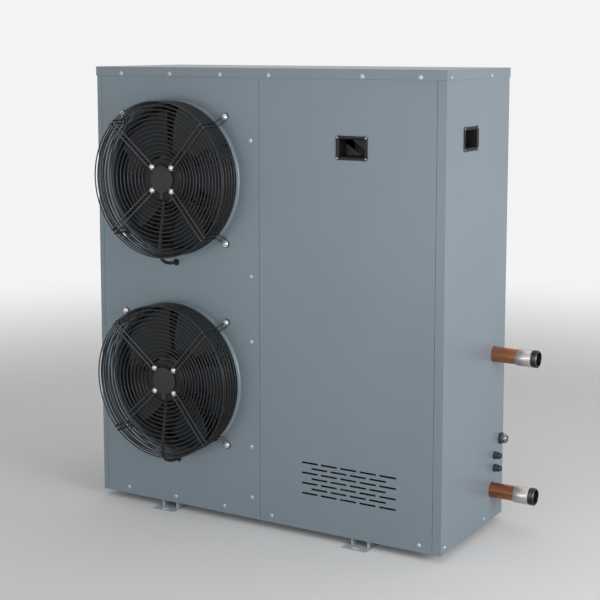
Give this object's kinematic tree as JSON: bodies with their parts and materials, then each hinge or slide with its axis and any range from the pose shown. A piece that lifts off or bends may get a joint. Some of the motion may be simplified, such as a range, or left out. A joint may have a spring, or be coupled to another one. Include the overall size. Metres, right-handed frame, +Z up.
{
  "type": "heat pump",
  "caption": "Outdoor air-to-water heat pump: upright sheet-metal casing, guarded axial fans one above the other, water connections on one side, slotted foot rails.",
  "frame": {"origin": "on the floor, midway between the four anchor slots, which is also midway between the casing's two ends and its front and back", "axes": "+Z up, +Y from the fan side to the back, +X to the right seen from the fan side, towards the water connections"},
  "size_m": [1.232, 0.5243, 1.27],
  "materials": {
    "sheet_paint": "satin powder coat",
    "galvanised": "galvanised",
    "zinc": "bright zinc",
    "black_wire": "satin black",
    "fan_black": "matte black",
    "motor_black": "satin black",
    "motor_core": "laminated steel",
    "duct_metal": "satin",
    "bearing_steel": "ground",
    "fin_aluminium": "fine fins",
    "copper": "drawn copper",
    "valve_brass": "turned",
    "nickel": "nickel plated thread",
    "handle_plastic": "moulded black",
    "gland_plastic": "moulded dark grey",
    "cable_black": "cable sheath",
    "rubber": "moulded",
    "compressor_paint": "black enamel",
    "exchanger_steel": "brazed stainless plates",
    "board_green": "circuit board",
    "terminal_grey": "moulded",
    "connector_white": "moulded"
  },
  "bodies": {
    "casing": {"foot_rail_left": "sheet_paint", "foot_rail_right": "sheet_paint", "base_pan": "galvanised", "post_front_right": "galvanised", "post_rear_right": "galvanised", "corner_panel_front": "sheet_paint", "corner_panel_rear": "sheet_paint", "fan_panel": "sheet_paint", "service_panel": "sheet_paint", "side_panel": "sheet_paint", "rear_panel": "sheet_paint", "top_cover": "sheet_paint", "partition": "galvanised", "coil_fins": "fin_aluminium", "coil_header": "copper", "coil_guard_left": "black_wire", "coil_guard_rear": "black_wire", "fan_bearings": "bearing_steel", "motor_caps": "motor_black", "hub_screws": "zinc", "guard_bolts": "zinc", "cable_grommets": "rubber", "cable_connectors": "connector_white", "front_handle": "handle_plastic", "side_handle": "handle_plastic", "handle_screws": "zinc", "panel_screws": "zinc", "plate_heat_exchanger": "exchanger_steel", "water_pipe_upper": "copper", "water_pipe_lower": "copper", "threaded_ends": "nickel", "large_cable_gland": "gland_plastic", "small_cable_glands": "gland_plastic", "compressor": "compressor_paint", "compressor_mounts": "rubber", "suction_accumulator": "compressor_paint", "four_way_valve": "valve_brass", "expansion_valve": "valve_brass", "discharge_pipe": "copper", "suction_pipe": "copper", "accumulator_pipe": "copper", "coil_gas_pipe": "copper", "exchanger_gas_pipe": "copper", "liquid_pipe": "copper", "coil_liquid_pipe": "copper", "electrical_box": "galvanised", "control_board": "board_green", "terminal_block": "terminal_grey", "upper_air_duct": "duct_metal", "upper_motor_stator": "motor_core", "upper_fan_guard": "black_wire", "upper_motor_cable": "cable_black", "lower_air_duct": "duct_metal", "lower_motor_stator": "motor_core", "lower_fan_guard": "black_wire", "lower_motor_cable": "cable_black"},
    "upper_fan": {"upper_motor_rotor": "motor_black", "upper_impeller": "fan_black"},
    "lower_fan": {"lower_motor_rotor": "motor_black", "lower_impeller": "fan_black"}
  },
  "joints": [
    {"name": "upper_fan_spin", "type": "hinge", "parent": "casing", "child": "upper_fan", "pos_m": [-0.2825, -0.203, 0.9625], "axis": [0, 1, 0], "continuous": true},
    {"name": "lower_fan_spin", "type": "hinge", "parent": "casing", "child": "lower_fan", "pos_m": [-0.2825, -0.203, 0.393], "axis": [0, 1, 0], "continuous": true}
  ]
}
